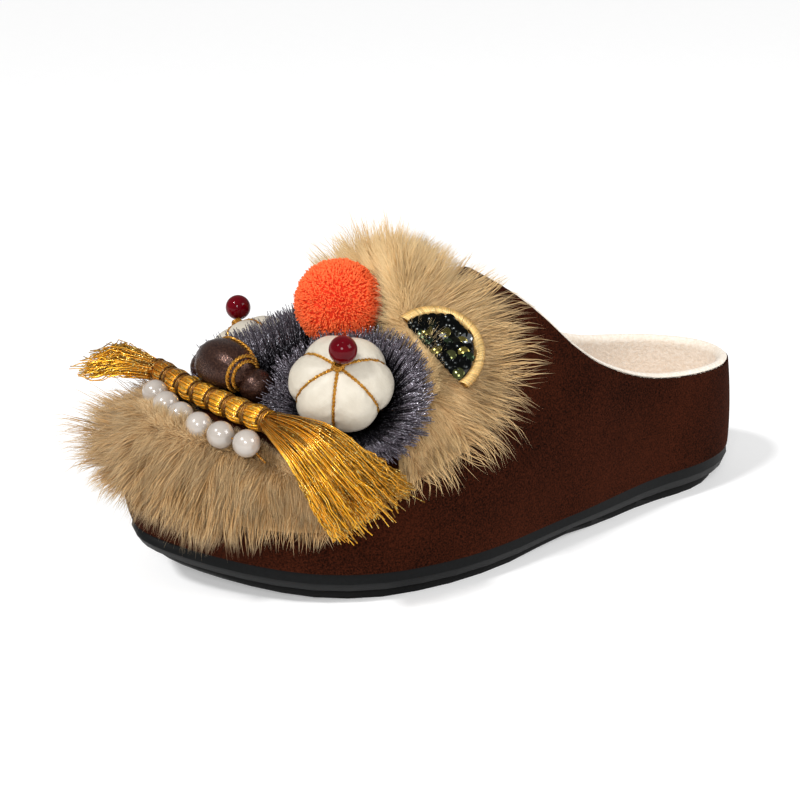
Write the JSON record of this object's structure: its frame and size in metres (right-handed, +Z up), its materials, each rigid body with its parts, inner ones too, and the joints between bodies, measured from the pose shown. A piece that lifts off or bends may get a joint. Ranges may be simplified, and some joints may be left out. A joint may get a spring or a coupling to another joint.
{
  "type": "mule slipper",
  "caption": "Backless suede slipper for the left foot with a tiger face of fur, stuffed eyes and nose, pearl teeth, thread fringes and gold tassels.",
  "frame": {"origin": "on the floor, at the middle of the heel's flat spot", "axes": "+Z up, -Y towards the toe, +X towards the little-toe (lateral) side"},
  "size_m": [0.1214, 0.2784, 0.1231],
  "materials": {
    "suede": "napped",
    "rubber": "matte",
    "footbed": "plush",
    "fur": "long pile",
    "gold_thread": "metallic sheen",
    "pearl": "pearlescent",
    "brown_satin": "satin",
    "white_satin": "satin",
    "red_glass": "polished",
    "grey_thread": "satin",
    "orange_yarn": "matte",
    "sequin": "iridescent"
  },
  "bodies": {
    "root": {"outsole": "rubber", "upper": "suede", "insole": "footbed", "fur_brow": "fur", "fur_chin": "fur", "mouth_bundle": "gold_thread", "tassel_lateral": "gold_thread", "tassel_medial": "gold_thread", "pearl_1": "pearl", "pearl_2": "pearl", "pearl_3": "pearl", "pearl_4": "pearl", "pearl_5": "pearl", "pearl_6": "pearl", "nose": "brown_satin", "nose_cord": "gold_thread", "puff_lateral": "white_satin", "puff_medial": "white_satin", "puff_cord_lateral": "gold_thread", "puff_cord_medial": "gold_thread", "bead_lateral": "red_glass", "bead_medial": "red_glass", "fringe_lateral": "grey_thread", "fringe_medial": "grey_thread", "pompom": "orange_yarn", "ear_lateral": "sequin", "ear_medial": "sequin", "ear_rim_lateral": "gold_thread", "ear_rim_medial": "gold_thread"}
  },
  "joints": []
}
